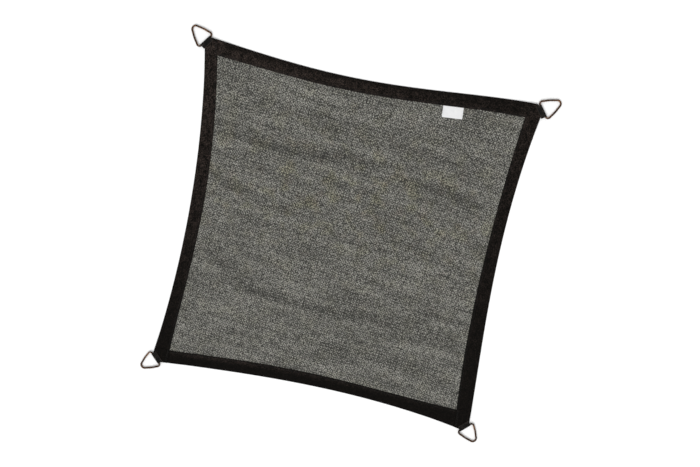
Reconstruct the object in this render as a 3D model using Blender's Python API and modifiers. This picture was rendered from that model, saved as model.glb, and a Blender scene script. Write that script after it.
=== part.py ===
"""Square shade sail of knitted mesh, lying spread out on a floor.

The panel's four sides curve inwards. A strip of the same cloth is folded round each side and sewn
through, with the left and right strips lapped over the ends of the top and bottom ones. Each corner is
cut off square, and a webbing tab is folded round the bar of a steel delta ring and sewn to both faces of
the corner. Metres, +Z up, +X to the right, +Y towards the label. The origin is on the floor, under the
middle of the sail.
"""

import math

import bmesh
import bpy
import numpy as np

MM = 0.001

# Layers. A height is that of a layer's middle surface, over the floor or, for an offset, over the panel's.
CLOTH = 1.0 * MM
WEBBING = 1.8 * MM
LABEL = 1.0 * MM
GAP = 0.3 * MM
LAYER = CLOTH + GAP
BORDER_HEIGHT = LAYER + CLOTH / 2
LAP_OFFSET = 2 * LAYER
CORNER_HEIGHT = WEBBING + GAP + LAP_OFFSET + CLOTH / 2

# Each side's distance from the middle in mm, at five stations along it in metres: left to right for the
# top and bottom, bottom to top for the left and right. inner is the binding strip's sewn edge.
STATIONS = (-0.8, -0.4, 0.0, 0.4, 0.8)
SIDES = {
    "top": dict(outer=(941, 903, 894, 918, 948), inner=(860, 830, 822, 844, 868)),
    "bottom": dict(outer=(930, 900, 885, 895, 936), inner=(852, 822, 810, 822, 838)),
    "left": dict(outer=(929, 885, 866, 873, 909), inner=(845, 813, 791, 798, 838)),
    "right": dict(outer=(935, 905, 883, 883, 913), inner=(848, 818, 808, 815, 837)),
}

# Middle of each tab's front edge in metres, and the way that the tab and its ring face in degrees.
CORNERS = {
    "top_left": dict(front=(-0.9267, 0.9310), facing=142.0),
    "top_right": dict(front=(0.9320, 0.9246), facing=38.0),
    "bottom_right": dict(front=(0.9285, -0.9384), facing=-44.5),
    "bottom_left": dict(front=(-0.9275, -0.9254), facing=-137.0),
}

# Soft ridges that the cloth keeps where it doesn't lie down, from one end to the other in metres. bow is
# how far the ridge's line stands off the straight one at its middle, width its reach to either side.
RIDGES = {
    "upper": dict(start=(-0.98, 0.47), end=(0.90, 0.31), bow=18 * MM, height=11 * MM, width=48 * MM),
    "short": dict(start=(-0.98, 0.15), end=(-0.22, 0.11), bow=0, height=5 * MM, width=45 * MM),
    "steep": dict(start=(0.16, 0.17), end=(0.46, -0.13), bow=0, height=6 * MM, width=34 * MM),
    "elbow": dict(start=(-0.90, -0.12), end=(-0.40, -0.44), bow=-10 * MM, height=7 * MM, width=42 * MM),
    "middle": dict(start=(-0.62, -0.43), end=(0.98, -0.48), bow=6 * MM, height=9 * MM, width=46 * MM),
    "lower": dict(start=(-0.42, -0.64), end=(0.98, -0.71), bow=4 * MM, height=7 * MM, width=42 * MM),
}
RIDGE_END = 0.16
SIDE_CALM = 90 * MM
SAG_REACH = 110 * MM
CORNER_REACH = 150 * MM

COLUMNS, ROWS = 26, 38
FOLD_STEPS = 4
LAP_STARTS = (8 * MM, 1 * MM)
MEETING_STEPS = 40

CUT_BEHIND_FRONT = 16 * MM
CUTTER_SIZE = (0.2, 0.4, 0.1)
TAB_WIDTH = 70 * MM
TAB_LENGTH = 31 * MM
LOOP_STEPS = 12

RING_WIRE = 10 * MM
RING_BASE = 112 * MM
RING_HEIGHT = 133 * MM
RING_BASE_BEND = 14 * MM
RING_APEX_BEND = 20 * MM
RING_LEG_BOW = 2 * MM
BEND_STEPS = 6
LEG_STEPS = 6
WIRE_ROUNDNESS = 3
LOOP_RADIUS = RING_WIRE / 2 + GAP + WEBBING / 2
BAR_BEHIND_FRONT = LOOP_RADIUS + WEBBING / 2

LABEL_FROM, LABEL_TO = 0.403, 0.513
LABEL_DROP = 62 * MM
LABEL_CELLS = (10, 6)
ABOVE_ALL = 0.05

COLOURS = {
    "mesh": dict(colour=(0.13, 0.127, 0.115), roughness=0.85, metallic=0.0),
    "binding": dict(colour=(0.008, 0.007, 0.006), roughness=0.8, metallic=0.0),
    "webbing": dict(colour=(0.007, 0.007, 0.006), roughness=0.7, metallic=0.0),
    "steel": dict(colour=(0.09, 0.06, 0.05), roughness=0.28, metallic=1.0),
    "label": dict(colour=(0.78, 0.78, 0.77), roughness=0.6, metallic=0.0),
}


def clear_scene():
    for obj in list(bpy.data.objects):
        bpy.data.objects.remove(obj, do_unlink=True)


def collection(name):
    found = bpy.data.collections.new(name)
    bpy.context.scene.collection.children.link(found)
    return found


def material(name):
    made = bpy.data.materials.new(name)
    made.use_nodes = True
    shader = made.node_tree.nodes["Principled BSDF"]
    finish = COLOURS[name]
    shader.inputs["Base Color"].default_value = (*finish["colour"], 1)
    shader.inputs["Roughness"].default_value = finish["roughness"]
    shader.inputs["Metallic"].default_value = finish["metallic"]
    return made


def smooth(share):
    """Rises from 0 to 1 with no slope at either end."""
    share = np.clip(share, 0, 1)
    return share * share * (3 - 2 * share)


# The sail's outline: every curve is a polynomial through its side's five stations.


def curve(side, edge):
    """The side's signed distance from the middle, as a function of the place along it."""
    sign = -1 if side in ("bottom", "left") else 1
    places = sign * MM * np.array(SIDES[side][edge])
    return np.poly1d(np.polyfit(STATIONS, places, len(STATIONS) - 1))


def crossing(upright, level):
    """Where x = upright(y) meets y = level(x)."""
    x, y = 0.0, level(0.0)
    for _ in range(MEETING_STEPS):
        x, y = upright(y), level(x)
    return np.array((x, y))


def carried_on(side, corner, to):
    """Where the side's inner edge, carried straight on past the corner, meets the curve named to."""
    line = curve(side, "inner")
    over = curve(to, "outer")
    along = corner[0] if side in ("top", "bottom") else corner[1]
    slope = line.deriv()(along)
    far = over(along)
    for _ in range(MEETING_STEPS):
        reach = line(along) + slope * (far - along)
        far = over(reach)
    return np.array((far, reach)) if side in ("top", "bottom") else np.array((reach, far))


INNER_CORNER = {
    (tb, lr): crossing(curve(lr, "inner"), curve(tb, "inner"))
    for tb in ("top", "bottom")
    for lr in ("left", "right")
}
OUTER_CORNER = {
    (tb, lr): crossing(curve(lr, "outer"), curve(tb, "outer"))
    for tb in ("top", "bottom")
    for lr in ("left", "right")
}


def side_lines(side):
    """The lines across a side's strip, as their inner ends, outer ends and heights.

    There is one line for each of the panel's columns or rows. The first and the last lie on the
    outer edges of the two sides that this one meets, and the next ones start at the inner corners.
    """
    level = side in ("top", "bottom")
    ends = ("left", "right") if level else ("bottom", "top")
    keys = [(side, end) if level else (end, side) for end in ends]
    first, last = (INNER_CORNER[key] for key in keys)
    axis = 0 if level else 1
    count = COLUMNS if level else ROWS
    along = np.linspace(first[axis], last[axis], count + 1)
    inner = np.stack([along, curve(side, "inner")(along)], 1)
    starts, stops = (carried_on(end, INNER_CORNER[key], side) for end, key in zip(ends, keys))
    out = np.linspace(starts[axis], stops[axis], count + 1)
    outer = np.stack([out, curve(side, "outer")(out)], 1)
    if not level:
        inner, outer = inner[:, ::-1], outer[:, ::-1]
    nearest = np.minimum(along - first[axis], last[axis] - along)
    rise = CORNER_HEIGHT - BORDER_HEIGHT
    height = BORDER_HEIGHT + rise * smooth(1 - nearest / CORNER_REACH)
    caps = [carried_on(side, INNER_CORNER[key], end) for end, key in zip(ends, keys)]
    inner = np.vstack([caps[0], inner, caps[1]])
    outer = np.vstack([OUTER_CORNER[keys[0]], outer, OUTER_CORNER[keys[1]]])
    height = np.concatenate([[CORNER_HEIGHT], height, [CORNER_HEIGHT]])
    return inner, outer, height


def moved_in(outer, inner, distance):
    """Points at a distance from the outer ends of lines, towards their inner ends."""
    way = inner - outer
    return outer + way * (distance / np.linalg.norm(way, axis=1))[:, None]


# Pieces of cloth: a flat grid is laid on computed points, then given its thickness.


def cloth_sheet(name, points, thickness, finish, parts):
    """A sheet whose middle surface runs through points, an array of rows of places."""
    rows, columns = points.shape[:2]
    bpy.ops.mesh.primitive_grid_add(x_subdivisions=columns - 1, y_subdivisions=rows - 1)
    sheet = bpy.context.object
    sheet.name = sheet.data.name = name
    sheet.data.vertices.foreach_set("co", points.reshape(-1))
    sheet.data.update()
    sheet.data.materials.append(finish)
    sheet.data.shade_smooth()
    wall = sheet.modifiers.new("thickness", "SOLIDIFY")
    wall.thickness = thickness
    wall.offset = 0
    wall.use_even_offset = True
    for holder in list(sheet.users_collection):
        holder.objects.unlink(sheet)
    parts.objects.link(sheet)
    return sheet


def ridge_height(x, y):
    """Height of all the ridges at a place: each is a bell across its line, fading out at its ends."""
    total = np.zeros_like(x)
    for ridge in RIDGES.values():
        start, end = np.array(ridge["start"]), np.array(ridge["end"])
        length = np.linalg.norm(end - start)
        way = (end - start) / length
        share = ((x - start[0]) * way[0] + (y - start[1]) * way[1]) / length
        across = (y - start[1]) * way[0] - (x - start[0]) * way[1]
        across = across - ridge["bow"] * 4 * share * (1 - share)
        ends = smooth(share / RIDGE_END) * smooth((1 - share) / RIDGE_END)
        total = total + ridge["height"] * ends * np.exp(-((across / ridge["width"]) ** 2))
    return total


def panel_points(sides):
    """The panel's middle surface: it lies on the floor between its ridges, and rises into the border.

    Inside the border the plan blends the four inner edges, less their corners, and the height is the
    floor's plus the ridges plus what each edge lifts. In the border a line across has one height all along.
    """
    lines = {side: [part[1:-1] for part in sides[side]] for side in sides}
    t, s = np.meshgrid(np.linspace(0, 1, ROWS + 1), np.linspace(0, 1, COLUMNS + 1), indexing="ij")
    inner = {side: lines[side][0] for side in lines}

    def blend(left, right, bottom, top, low_left, low_right, high_left, high_right, fade):
        """Each edge's values carried in by fade, less the corners, which two edges both bring."""
        a, b, c, d = fade(s), fade(1 - s), fade(t), fade(1 - t)
        edges = a * left + b * right + c * bottom + d * top
        corners = a * c * low_left + b * c * low_right + a * d * high_left + b * d * high_right
        return edges - corners

    plan = [
        blend(
            inner["left"][:, None, k],
            inner["right"][:, None, k],
            inner["bottom"][None, :, k],
            inner["top"][None, :, k],
            *(INNER_CORNER[tb, lr][k] for tb in ("bottom", "top") for lr in ("left", "right")),
            fade=lambda share: 1 - share,
        )
        for k in (0, 1)
    ]
    lift = {side: lines[side][2] - CLOTH / 2 for side in lines}
    corner = [CORNER_HEIGHT - CLOTH / 2] * 4
    span = inner["top"][-1, 0] - inner["top"][0, 0]
    raised = blend(
        lift["left"][:, None],
        lift["right"][:, None],
        lift["bottom"][None, :],
        lift["top"][None, :],
        *corner,
        fade=lambda share: smooth(1 - share * span / SAG_REACH),
    )
    margin = np.minimum(np.minimum(s, 1 - s), np.minimum(t, 1 - t)) * span
    height = CLOTH / 2 + raised + ridge_height(*plan) * smooth(margin / SIDE_CALM)

    points = np.zeros((ROWS + 3, COLUMNS + 3, 3))
    points[1:-1, 1:-1] = np.stack([*plan, height], 2)
    edge_inset = CLOTH / 2 + CLOTH + 2 * GAP
    for side, here in (("bottom", np.s_[0, 1:-1]), ("top", np.s_[-1, 1:-1])):
        points[here][:, :2] = moved_in(lines[side][1], lines[side][0], edge_inset)
        points[here][:, 2] = lines[side][2]
    for side, here in (("left", np.s_[1:-1, 0]), ("right", np.s_[1:-1, -1])):
        points[here][:, :2] = moved_in(lines[side][1], lines[side][0], edge_inset)
        points[here][:, 2] = lines[side][2]
    for (tb, lr), place in OUTER_CORNER.items():
        here = (-1 if tb == "top" else 0, -1 if lr == "right" else 0)
        towards = INNER_CORNER[tb, lr] - place
        points[here][:2] = place + np.sign(towards) * edge_inset
        points[here][2] = CORNER_HEIGHT
    return points


def strip_points(inner, outer, height, offset):
    """A binding strip's middle surface, from its upper edge round the fold to its lower edge.

    offset is how far each ply stands from the border's middle surface, for each line across.
    """
    turn = np.radians(np.linspace(90, -90, FOLD_STEPS + 1))[:, None]
    centre = offset + CLOTH / 2
    reach = np.vstack([np.zeros_like(offset), centre - offset * np.cos(turn), np.zeros_like(offset)])
    rise = np.vstack([offset, offset * np.sin(turn), -offset])
    way = inner - outer
    width = np.linalg.norm(way, axis=1)
    reach[0] = reach[-1] = width
    plan = outer[None] + reach[:, :, None] * (way / width[:, None])[None]
    return np.concatenate([plan, (height + rise)[:, :, None]], 2)


def end_strip(side, lines, finish, parts):
    """The top or bottom strip. Its ends stop inside the folds of the left and right strips."""
    inner, outer, height = (part.copy() for part in lines[side])
    clear = LAP_OFFSET + CLOTH / 2 + GAP
    for end, neighbour in ((0, 1), (-1, -2)):
        for edge in (inner, outer):
            way = edge[neighbour] - edge[end]
            edge[end] += way * (clear / np.linalg.norm(way))
    points = strip_points(inner, outer, height, np.full(len(height), LAYER))
    return cloth_sheet(f"binding_{side}", points, CLOTH, finish, parts)


def lapping_strip(side, lines, finish, parts):
    """The left or right strip. It stands further off the panel where it laps a strip's end."""
    inner, outer, height = lines[side]
    place = np.arange(len(height), dtype=float)
    step_out = 1 + np.array(LAP_STARTS) / np.linalg.norm(inner[2] - inner[1])
    at = np.sort(np.concatenate([place, step_out, place[-1] - step_out]))
    inner, outer, height = (
        np.stack([np.interp(at, place, column) for column in part.T], 1)
        for part in (inner, outer, height[:, None])
    )
    from_end = np.minimum(at, place[-1] - at)
    offset = np.where(from_end < step_out.mean(), LAP_OFFSET, LAYER)
    points = strip_points(inner, outer, height[:, 0], offset)
    return cloth_sheet(f"binding_{side}", points, CLOTH, finish, parts)


# The corners: cutters, tabs and rings, each made facing +X from its front edge and then placed.


def place_at_corner(obj, corner, behind=0.0, height=0.0, tilt=0.0):
    facing = math.radians(CORNERS[corner]["facing"])
    x, y = CORNERS[corner]["front"]
    obj.location = (x - behind * math.cos(facing), y - behind * math.sin(facing), height)
    obj.rotation_euler = (0, tilt, facing)


def corner_cutter(corner, cutters):
    """A block over everything beyond the corner's cut edge."""
    shape = bmesh.new()
    bmesh.ops.create_cube(shape, size=1)
    bmesh.ops.translate(shape, verts=shape.verts, vec=(0.5, 0, 0))
    bmesh.ops.scale(shape, verts=shape.verts, vec=CUTTER_SIZE)
    mesh = bpy.data.meshes.new(f"cutter_{corner}")
    shape.to_mesh(mesh)
    shape.free()
    cutter = bpy.data.objects.new(mesh.name, mesh)
    cutter.hide_render = True
    cutter.display_type = "WIRE"
    cutters.objects.link(cutter)
    place_at_corner(cutter, corner, behind=CUT_BEHIND_FRONT)
    return cutter


def cut_corners(sheet, cutters):
    for cutter in cutters:
        cut = sheet.modifiers.new(cutter.name, "BOOLEAN")
        cut.operation = "DIFFERENCE"
        cut.solver = "EXACT"
        cut.object = cutter


def tab_path():
    """The webbing's middle line from the side: flat on the corner, down round the bar, flat below."""
    top = CORNER_HEIGHT + LAP_OFFSET + CLOTH / 2 + GAP + WEBBING / 2
    bend = np.array((-CUT_BEHIND_FRONT, top))
    bar = np.array((-BAR_BEHIND_FRONT, BAR_BEHIND_FRONT))
    to_bar = bar - bend
    distance = np.linalg.norm(to_bar)
    climb = math.atan2(to_bar[1], to_bar[0]) + math.asin(LOOP_RADIUS / distance)
    turn = np.linspace(climb + math.pi / 2, -math.pi / 2, LOOP_STEPS + 1)
    loop = bar + LOOP_RADIUS * np.stack([np.cos(turn), np.sin(turn)], 1)
    start = (-TAB_LENGTH, top)
    finish = (-TAB_LENGTH, WEBBING / 2)
    return np.vstack([start, bend, loop, finish])


def tab(corner, finish, parts):
    path = tab_path()
    across = np.array((-0.5, 0.5)) * TAB_WIDTH
    points = np.zeros((len(path), len(across), 3))
    points[:, :, 0] = path[:, None, 0]
    points[:, :, 1] = across
    points[:, :, 2] = path[:, None, 1]
    made = cloth_sheet(f"tab_{corner}", points, WEBBING, finish, parts)
    place_at_corner(made, corner)
    return made


def ring_line():
    """The wire's middle line: a triangle with bent corners whose legs bow out a little."""
    half = RING_BASE / 2
    corners = np.array([(0, -half), (RING_HEIGHT, 0), (0, half)])
    bends = (RING_BASE_BEND, RING_APEX_BEND, RING_BASE_BEND)
    arcs = []
    for k, radius in enumerate(bends):
        here, before, after = corners[k], corners[k - 1], corners[(k + 1) % 3]
        back = (before - here) / np.linalg.norm(before - here)
        on = (after - here) / np.linalg.norm(after - here)
        half_angle = math.acos(float(back @ on)) / 2
        middle = (back + on) / np.linalg.norm(back + on)
        centre = here + middle * radius / math.sin(half_angle)
        first = here + back * radius / math.tan(half_angle) - centre
        turn = np.linspace(0, math.pi - 2 * half_angle, BEND_STEPS + 1)
        spin = np.stack([np.cos(turn), -np.sin(turn), np.sin(turn), np.cos(turn)], 1).reshape(-1, 2, 2)
        arcs.append(centre + spin @ first)
    share = np.linspace(0, 1, LEG_STEPS + 1)[1:-1, None]
    legs = []
    for start, end in ((arcs[0][-1], arcs[1][0]), (arcs[1][-1], arcs[2][0])):
        way = (end - start) / np.linalg.norm(end - start)
        outwards = np.array((way[1], -way[0]))
        legs.append(start + share * (end - start) + outwards * RING_LEG_BOW * np.sin(math.pi * share) ** 2)
    return np.vstack([arcs[0], legs[0], arcs[1], legs[1], arcs[2]])


def ring(corner, finish, parts):
    line = ring_line()
    wire = bpy.data.curves.new(f"ring_{corner}", "CURVE")
    wire.dimensions = "3D"
    wire.bevel_depth = RING_WIRE / 2
    wire.bevel_resolution = WIRE_ROUNDNESS
    route = wire.splines.new("POLY")
    route.points.add(len(line) - 1)
    route.points.foreach_set("co", np.column_stack([line, np.zeros(len(line)), np.ones(len(line))]).ravel())
    route.use_cyclic_u = True
    wire.materials.append(finish)
    made = bpy.data.objects.new(wire.name, wire)
    parts.objects.link(made)
    tilt = math.asin((BAR_BEHIND_FRONT - RING_WIRE / 2) / line[:, 0].max())
    place_at_corner(made, corner, behind=BAR_BEHIND_FRONT, height=BAR_BEHIND_FRONT, tilt=tilt)
    return made


# The label: a small rectangle hanging from the top strip's inner edge, laid down on the panel.


def label(panel, finish, parts):
    columns, rows = LABEL_CELLS
    edge = curve("top", "inner")
    x = np.linspace(LABEL_FROM, LABEL_TO, columns + 1)
    slope = (edge(LABEL_TO) - edge(LABEL_FROM)) / (LABEL_TO - LABEL_FROM)
    down = np.array((slope, -1)) / math.hypot(slope, 1)
    drop = GAP + np.linspace(0, LABEL_DROP, rows + 1)[:, None]
    points = np.full((rows + 1, columns + 1, 3), ABOVE_ALL)
    points[:, :, 0] = x + drop * down[0]
    points[:, :, 1] = edge(x) + drop * down[1]
    made = cloth_sheet("label", points[::-1], LABEL, finish, parts)
    laid = made.modifiers.new("laid on the panel", "SHRINKWRAP")
    laid.target = panel
    laid.wrap_method = "PROJECT"
    laid.use_project_z = True
    laid.use_negative_direction = True
    laid.use_positive_direction = False
    laid.offset = GAP + LABEL / 2
    made.modifiers.move(made.modifiers.find(laid.name), 0)
    return made


def middle_of(objects):
    """The middle of the objects' common bounding box, seen from above."""
    graph = bpy.context.evaluated_depsgraph_get()
    places = []
    for obj in objects:
        shape = obj.evaluated_get(graph)
        mesh = shape.to_mesh()
        places += [shape.matrix_world @ vertex.co for vertex in mesh.vertices]
        shape.to_mesh_clear()
    places = np.array(places)
    return (places.min(0) + places.max(0))[:2] / 2


def build_sail():
    clear_scene()
    parts = collection("shade_sail")
    cutting = collection("cutters")
    finishes = {name: material(name) for name in COLOURS}
    lines = {side: side_lines(side) for side in SIDES}
    cutters = {corner: corner_cutter(corner, cutting) for corner in CORNERS}

    panel = cloth_sheet("panel", panel_points(lines), CLOTH, finishes["mesh"], parts)
    strips = {
        "top": end_strip("top", lines, finishes["binding"], parts),
        "bottom": end_strip("bottom", lines, finishes["binding"], parts),
        "left": lapping_strip("left", lines, finishes["binding"], parts),
        "right": lapping_strip("right", lines, finishes["binding"], parts),
    }
    badge = label(panel, finishes["label"], parts)
    cut_corners(panel, cutters.values())
    for side, strip in strips.items():
        cut_corners(strip, [cutter for corner, cutter in cutters.items() if side in corner])
    tabs = [tab(corner, finishes["webbing"], parts) for corner in CORNERS]
    rings = [ring(corner, finishes["steel"], parts) for corner in CORNERS]

    sail = bpy.data.objects.new("sail", None)
    parts.objects.link(sail)
    for piece in [panel, *strips.values(), badge, *tabs, *rings, *cutters.values()]:
        piece.parent = sail
    bpy.context.view_layer.update()
    x, y = middle_of([*tabs, *rings])
    sail.location = (-x, -y, 0)


build_sail()
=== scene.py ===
"""A square shade sail of knitted black mesh, spread out on a pale floor.

It has a folded border of the same mesh, a webbing tab and a steel delta ring at each corner, and a
small white label. Metres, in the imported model's frame: +Z up, +X to the right, +Y towards the label.
"""

import math
from contextlib import contextmanager

import bmesh
import bpy
import numpy as np
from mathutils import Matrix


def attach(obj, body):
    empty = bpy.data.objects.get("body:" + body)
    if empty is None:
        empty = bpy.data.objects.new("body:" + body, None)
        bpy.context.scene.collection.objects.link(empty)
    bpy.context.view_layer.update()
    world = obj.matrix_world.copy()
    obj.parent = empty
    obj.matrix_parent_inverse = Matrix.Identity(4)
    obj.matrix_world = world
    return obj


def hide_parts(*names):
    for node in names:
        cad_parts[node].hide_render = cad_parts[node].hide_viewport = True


MM = 0.001

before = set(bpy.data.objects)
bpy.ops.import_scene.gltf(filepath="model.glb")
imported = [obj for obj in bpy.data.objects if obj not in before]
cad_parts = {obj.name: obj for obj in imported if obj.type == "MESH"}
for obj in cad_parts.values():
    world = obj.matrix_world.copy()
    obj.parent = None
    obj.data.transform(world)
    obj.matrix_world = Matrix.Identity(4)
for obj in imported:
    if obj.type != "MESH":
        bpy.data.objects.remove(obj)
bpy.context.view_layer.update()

# -----------------------------------------------------------------------------
# Camera. It looks steeply down on the sail, a little turned, as someone standing over it would.
# -----------------------------------------------------------------------------

CAMERA_PLACE = (0.2020, 1.0759, 4.6914)
CAMERA_TURN = (-11.656, 4.295, 11.226)
CAMERA_LENS = 44.23


def put_in_scene(name, data):
    """A new object with a name and its data, linked to the scene."""
    made = bpy.data.objects.new(name, data)
    bpy.context.scene.collection.objects.link(made)
    return made


camera = put_in_scene("camera", bpy.data.cameras.new("camera"))
camera.location = CAMERA_PLACE
camera.rotation_euler = [math.radians(angle) for angle in CAMERA_TURN]
camera.data.lens = CAMERA_LENS
bpy.context.scene.camera = camera

# -----------------------------------------------------------------------------
# Panel. One square of black polyethylene mesh, warp-knitted in staggered slots that let the ground
# show through. Its four sides are cut as inward curves, and its corners are cut off square. It lies
# on the floor and keeps a few soft ridges from its folds.
# -----------------------------------------------------------------------------

# The outline as the part's drawing has it, from the sail's middle: each side's distance in mm at five
# stations along it in metres, left to right or bottom to top. inner is the border's sewn edge.
DRAWING_MIDDLE = np.array((0.00265, -0.00696, 0))
STATIONS = (-0.8, -0.4, 0.0, 0.4, 0.8)
SIDES = {
    "top": dict(outer=(941, 903, 894, 918, 948), inner=(860, 830, 822, 844, 868)),
    "bottom": dict(outer=(930, 900, 885, 895, 936), inner=(852, 822, 810, 822, 838)),
    "left": dict(outer=(929, 885, 866, 873, 909), inner=(845, 813, 791, 798, 838)),
    "right": dict(outer=(935, 905, 883, 883, 913), inner=(848, 818, 808, 815, 837)),
}
CORNERS = {
    "top_left": dict(front=(-0.9267, 0.9310), facing=142.0),
    "top_right": dict(front=(0.9320, 0.9246), facing=38.0),
    "bottom_right": dict(front=(0.9285, -0.9384), facing=-44.5),
    "bottom_left": dict(front=(-0.9275, -0.9254), facing=-137.0),
}
CUT_BEHIND_FRONT = 16 * MM
LEVEL_SIDES = ("top", "bottom")

CLOTH = 1.0 * MM
GAP = 0.3 * MM
WEBBING = 1.8 * MM
LAYER = CLOTH + GAP
LAP_OFFSET = 2 * LAYER
BORDER_HEIGHT = LAYER + CLOTH / 2
CORNER_HEIGHT = WEBBING + GAP + LAP_OFFSET + CLOTH / 2
CORNER_REACH = 150 * MM
SAG_REACH = 110 * MM
PANEL_INSET = CLOTH / 2 + CLOTH + 2 * GAP

RIDGE_END = 0.16
SIDE_CALM = 90 * MM
RIDGES = {
    "upper": dict(start=(-0.98, 0.47), end=(0.90, 0.31), bow=18 * MM, height=11 * MM, width=48 * MM),
    "short": dict(start=(-0.98, 0.15), end=(-0.22, 0.11), bow=0, height=5 * MM, width=45 * MM),
    "steep": dict(start=(0.16, 0.17), end=(0.46, -0.13), bow=0, height=6 * MM, width=34 * MM),
    "elbow": dict(start=(-0.90, -0.12), end=(-0.40, -0.44), bow=-10 * MM, height=7 * MM, width=42 * MM),
    "middle": dict(start=(-0.62, -0.43), end=(0.98, -0.48), bow=6 * MM, height=9 * MM, width=46 * MM),
    "lower": dict(start=(-0.42, -0.64), end=(0.98, -0.71), bow=4 * MM, height=7 * MM, width=42 * MM),
}
PANEL_COLUMNS, PANEL_ROWS, CORNER_LINES = 150, 150, 8


def smooth(share):
    """3 share squared less 2 share cubed: rises from 0 to 1 with no slope at either end."""
    share = np.clip(share, 0, 1)
    return share * share * (3 - 2 * share)


def unit(ways):
    """The same ways, each of length 1."""
    return ways / np.linalg.norm(ways, axis=-1, keepdims=True)


def distances(path):
    """How far each point lies along its path. A grid holds one path down each column."""
    steps = np.linalg.norm(np.diff(path, axis=0), axis=-1)
    return np.concatenate([0 * steps[:1], np.cumsum(steps, 0)])


def along_side(side, places):
    """How far along a side its places lie, from the sail's middle."""
    return places[:, 0 if side in LEVEL_SIDES else 1]


def side_curve(side, edge):
    """The polynomial through a side's five stations: its signed place, for the place along it."""
    sign = -1 if side in ("bottom", "left") else 1
    return np.poly1d(np.polyfit(STATIONS, sign * MM * np.array(SIDES[side][edge]), len(STATIONS) - 1))


def meeting(upright, level, steps=40):
    """Where x = upright(y) meets y = level(x), each found from the other in turn."""
    x, y = 0.0, level(0.0)
    for _ in range(steps):
        x, y = upright(y), level(x)
    return np.array((x, y))


def carried_on(side, corner, to, steps=40):
    """Where the side's inner edge, carried straight on past the corner, meets the curve named to."""
    line, over = side_curve(side, "inner"), side_curve(to, "outer")
    along = corner[0] if side in LEVEL_SIDES else corner[1]
    far = over(along)
    for _ in range(steps):
        reach = line(along) + line.deriv()(along) * (far - along)
        far = over(reach)
    return np.array((far, reach) if side in LEVEL_SIDES else (reach, far))


KEYS = [(tb, lr) for tb in ("bottom", "top") for lr in ("left", "right")]
INNER_CORNER = {(tb, lr): meeting(side_curve(lr, "inner"), side_curve(tb, "inner")) for tb, lr in KEYS}
OUTER_CORNER = {(tb, lr): meeting(side_curve(lr, "outer"), side_curve(tb, "outer")) for tb, lr in KEYS}


def side_lines(side, shares, trim=0.0):
    """Lines across a side's border, as inner ends, outer ends, heights and distances to the corner.

    A share runs from 0 to 1 between the inner corners. Past them, down to -1 and up to 2, a line
    turns evenly into the neighbours' outer edges, or stops trim short of them. The height is the
    border's, plus a smooth rise over the last CORNER_REACH before a corner.
    """
    level = side in LEVEL_SIDES
    axis = 0 if level else 1
    ends = ("left", "right") if level else ("bottom", "top")
    keys = [(side, end) if level else (end, side) for end in ends]
    first, last = (INNER_CORNER[key] for key in keys)
    within = np.clip(shares, 0, 1)
    along = first[axis] + within * (last[axis] - first[axis])
    inner = np.stack([along, side_curve(side, "inner")(along)], 1)
    starts, stops = (carried_on(end, INNER_CORNER[key], side) for end, key in zip(ends, keys))
    out = starts[axis] + within * (stops[axis] - starts[axis])
    outer = np.stack([out, side_curve(side, "outer")(out)], 1)
    if not level:
        inner, outer = inner[:, ::-1].copy(), outer[:, ::-1].copy()
    caps = [carried_on(side, INNER_CORNER[key], end) for end, key in zip(ends, keys)]
    past = np.array([np.clip(-shares, 0, 1), np.clip(shares - 1, 0, 1)])
    for k, key in enumerate(keys):
        inner_way, outer_way = caps[k] - INNER_CORNER[key], OUTER_CORNER[key] - (starts, stops)[k]
        for line, way in ((inner, inner_way), (outer, outer_way)):
            line += past[k][:, None] * way * (1 - trim / np.linalg.norm(way))
    length = last[axis] - first[axis]
    to_corner = np.minimum(shares, 1 - shares) * length
    height = BORDER_HEIGHT + (CORNER_HEIGHT - BORDER_HEIGHT) * smooth(1 - to_corner / CORNER_REACH)
    return inner, outer, height, to_corner


def ridge_height(x, y):
    """The sum of the ridges: each is a bell across its line, bowed as a parabola, fading at its ends."""
    total = np.zeros_like(x)
    for ridge in RIDGES.values():
        start, end = np.array(ridge["start"]), np.array(ridge["end"])
        length = np.linalg.norm(end - start)
        way = (end - start) / length
        share = ((x - start[0]) * way[0] + (y - start[1]) * way[1]) / length
        across = (y - start[1]) * way[0] - (x - start[0]) * way[1]
        across = across - ridge["bow"] * 4 * share * (1 - share)
        ends = smooth(share / RIDGE_END) * smooth((1 - share) / RIDGE_END)
        total = total + ridge["height"] * ends * np.exp(-((across / ridge["width"]) ** 2))
    return total


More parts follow.
